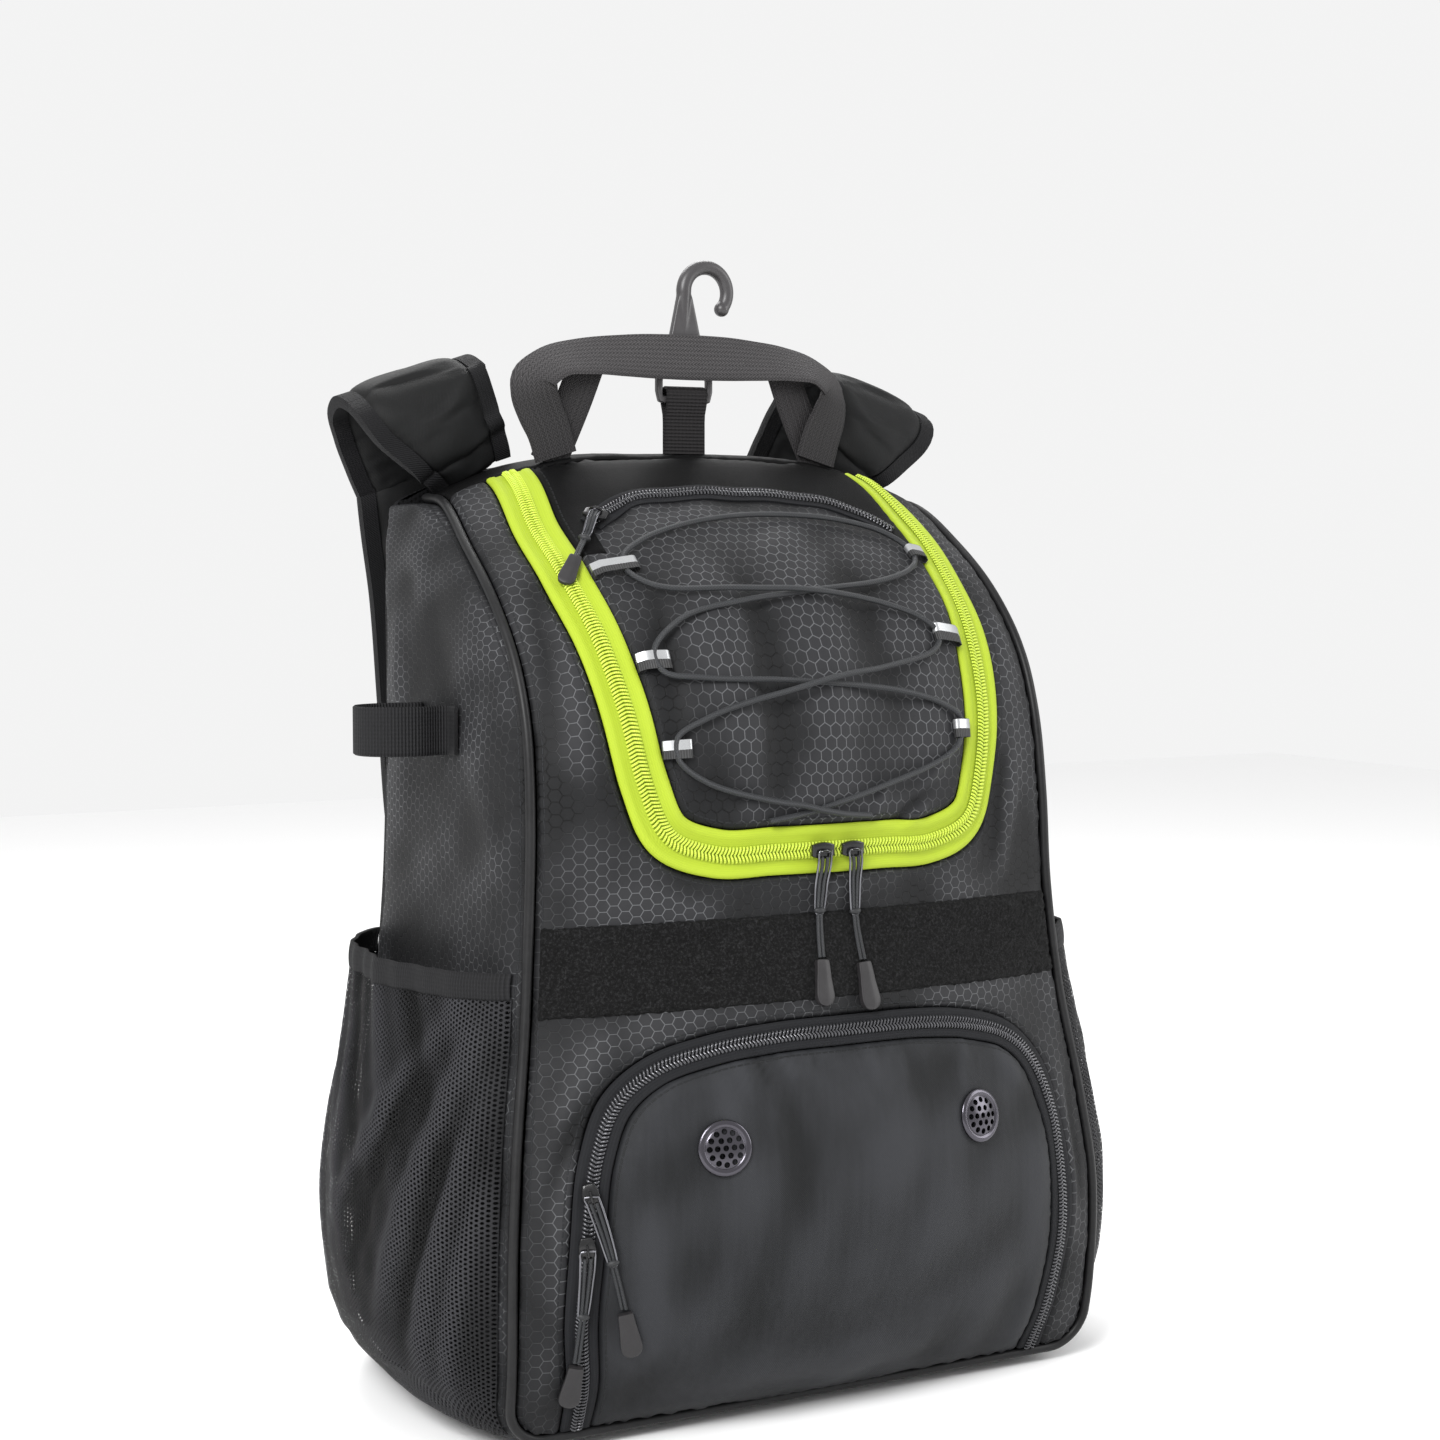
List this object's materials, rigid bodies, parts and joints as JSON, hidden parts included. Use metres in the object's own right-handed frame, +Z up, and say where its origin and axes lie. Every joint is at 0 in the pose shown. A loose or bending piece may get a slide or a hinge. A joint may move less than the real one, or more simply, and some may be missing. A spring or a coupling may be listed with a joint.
{
  "type": "backpack",
  "caption": "Baseball bat backpack with a laced front, two bat pockets, padded shoulder straps, a carry handle and a fence hook.",
  "frame": {"origin": "centre of the base on the floor, midway across the bag; y is zero under the carrying space, 94.6 mm ahead of the back seam", "axes": "+X to the bag's right as seen from the front, +Y towards the wearer's back, +Z up"},
  "size_m": [0.437, 0.2877, 0.5958],
  "materials": {
    "hex_cloth": "black-grey ripstop with an embossed honeycomb pattern",
    "smooth_cloth": "smooth black woven cloth",
    "padded_mesh": "black air mesh over foam",
    "vinyl_piping": "satin black piping",
    "lime_tape": "lime herringbone zip tape",
    "lime_coil": "lime nylon zip coil",
    "black_tape": "black woven zip tape",
    "black_coil": "black nylon zip coil with a sheen",
    "fuzzy_loop": "black brushed loop pile",
    "elastic_cord": "black braided elastic cord",
    "silver_ribbon": "silver reflective ribbon",
    "black_metal": "glossy black enamel",
    "dark_wire": "polished black wire",
    "rubber_tip": "dark grey moulded rubber on a black cord",
    "gunmetal": "gunmetal with a gloss rim",
    "open_mesh": "fine black open mesh",
    "ribbed_elastic": "black ribbed elastic",
    "strap_cloth": "black padded cloth with mesh below",
    "buckle_plastic": "black moulded plastic",
    "black_webbing": "black woven webbing",
    "grey_webbing": "dark grey woven webbing",
    "hook_plastic": "dark grey moulded plastic"
  },
  "bodies": {
    "bag": {"front_panel": "hex_cloth", "flap_panel": "hex_cloth", "gusset": "hex_cloth", "shoe_pocket_panel": "smooth_cloth", "top_panel": "smooth_cloth", "back_panel": "padded_mesh", "piping": "vinyl_piping", "main_zip_tape": "lime_tape", "main_zip_coil": "lime_coil", "shoe_zip_tape": "black_tape", "top_zip_tape": "black_tape", "shoe_zip_coil": "black_coil", "top_zip_coil": "black_coil", "fuzzy_strip": "fuzzy_loop", "laced_cord": "elastic_cord", "cord_loop_1": "silver_ribbon", "cord_loop_2": "silver_ribbon", "cord_loop_3": "silver_ribbon", "cord_loop_4": "silver_ribbon", "cord_loop_5": "silver_ribbon", "cord_loop_6": "silver_ribbon", "slider_main_left": "black_metal", "slider_main_right": "black_metal", "slider_top_pocket": "black_metal", "slider_shoe_upper": "black_metal", "slider_shoe_lower": "black_metal", "wire_loop_main_left": "dark_wire", "wire_loop_main_right": "dark_wire", "wire_loop_top_pocket": "dark_wire", "wire_loop_shoe_upper": "dark_wire", "wire_loop_shoe_lower": "dark_wire", "pull_main_left": "rubber_tip", "pull_main_right": "rubber_tip", "pull_top_pocket": "rubber_tip", "pull_shoe_upper": "rubber_tip", "pull_shoe_lower": "rubber_tip", "vent_left": "gunmetal", "vent_right": "gunmetal", "mesh_pocket_left": "open_mesh", "mesh_pocket_right": "open_mesh", "pocket_binding_left": "ribbed_elastic", "pocket_binding_right": "ribbed_elastic", "bat_strap_left": "ribbed_elastic", "bat_strap_right": "ribbed_elastic", "shoulder_strap_left": "strap_cloth", "shoulder_strap_right": "strap_cloth", "strap_buckle_left": "buckle_plastic", "strap_buckle_right": "buckle_plastic", "strap_webbing_left": "black_webbing", "strap_webbing_right": "black_webbing", "hook_tab": "black_webbing", "carry_handle": "grey_webbing"},
    "fence_hook": {"fence_hook": "hook_plastic"}
  },
  "joints": [
    {"name": "hook_swing", "type": "hinge", "parent": "bag", "child": "fence_hook", "pos_m": [0, 0.039, 0.5196], "axis": [-1, 0, 0], "range_deg": [0, 95]}
  ]
}
